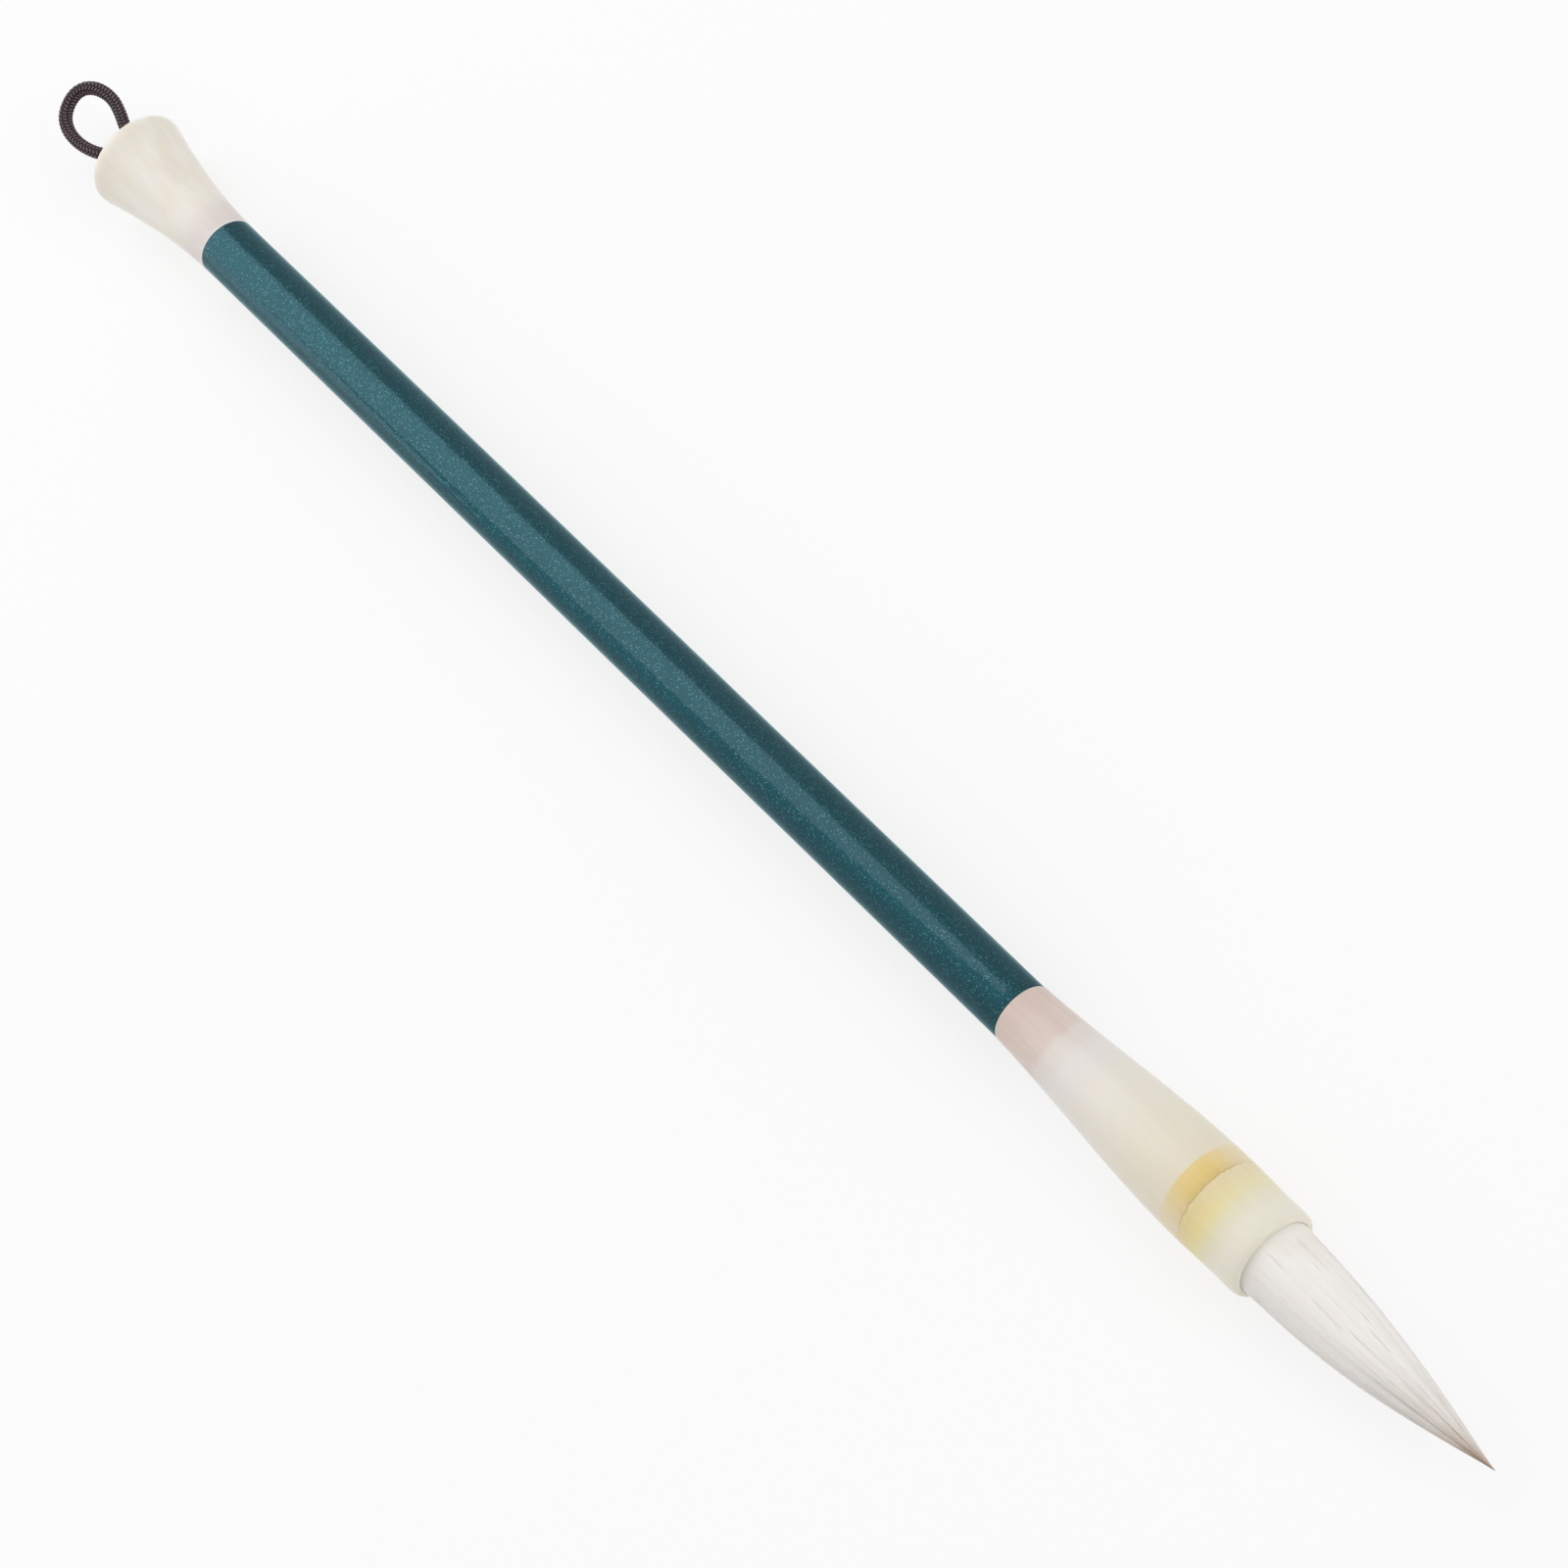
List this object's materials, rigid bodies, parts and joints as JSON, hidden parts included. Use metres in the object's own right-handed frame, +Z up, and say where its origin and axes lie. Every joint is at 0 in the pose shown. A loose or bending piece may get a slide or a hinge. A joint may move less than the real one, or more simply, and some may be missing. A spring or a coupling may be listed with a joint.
{
  "type": "calligraphy brush",
  "caption": "Writing brush with a lacquered shaft, a horn-coloured ferrule holding a pointed hair tuft, and a flared tail cap with a hanging loop.",
  "frame": {"origin": "on the plane that the brush lies on, below the middle of its length from the tail cap's end face to the hair's point", "axes": "+X along the brush towards the hair's point, +Z up, the hanging loop flat in the level plane of the brush's axis"},
  "size_m": [0.3108, 0.0152, 0.0152],
  "materials": {
    "teal_lacquer": "metallic teal lacquer with a fine sparkle over turned wood",
    "ferrule_horn": "satin translucent horn-coloured resin",
    "amber_resin": "clear amber resin",
    "binding_thread": "waxed cotton thread",
    "core_hair": "straight stiff hair, tan at its point",
    "cover_hair": "fine white goat hair, sized to a point",
    "cap_horn": "satin translucent horn-coloured resin",
    "braided_cord": "dark brown braided cord"
  },
  "bodies": {
    "brush": {"handle_shaft": "teal_lacquer", "ferrule": "ferrule_horn", "root_resin": "amber_resin", "root_binding": "binding_thread", "tuft_core": "core_hair", "tuft_cover": "cover_hair", "tail_cap": "cap_horn", "loop_tail_left": "braided_cord", "loop_tail_right": "braided_cord", "loop_knot": "braided_cord"},
    "loop": {"hanging_loop": "braided_cord"}
  },
  "joints": [
    {"name": "loop_fold", "type": "hinge", "parent": "brush", "child": "loop", "pos_m": [-0.1481, 0, 0.00759], "axis": [0, 1, 0], "range_deg": [-90, 90], "stiffness_Nm_per_rad": 0.0002}
  ]
}
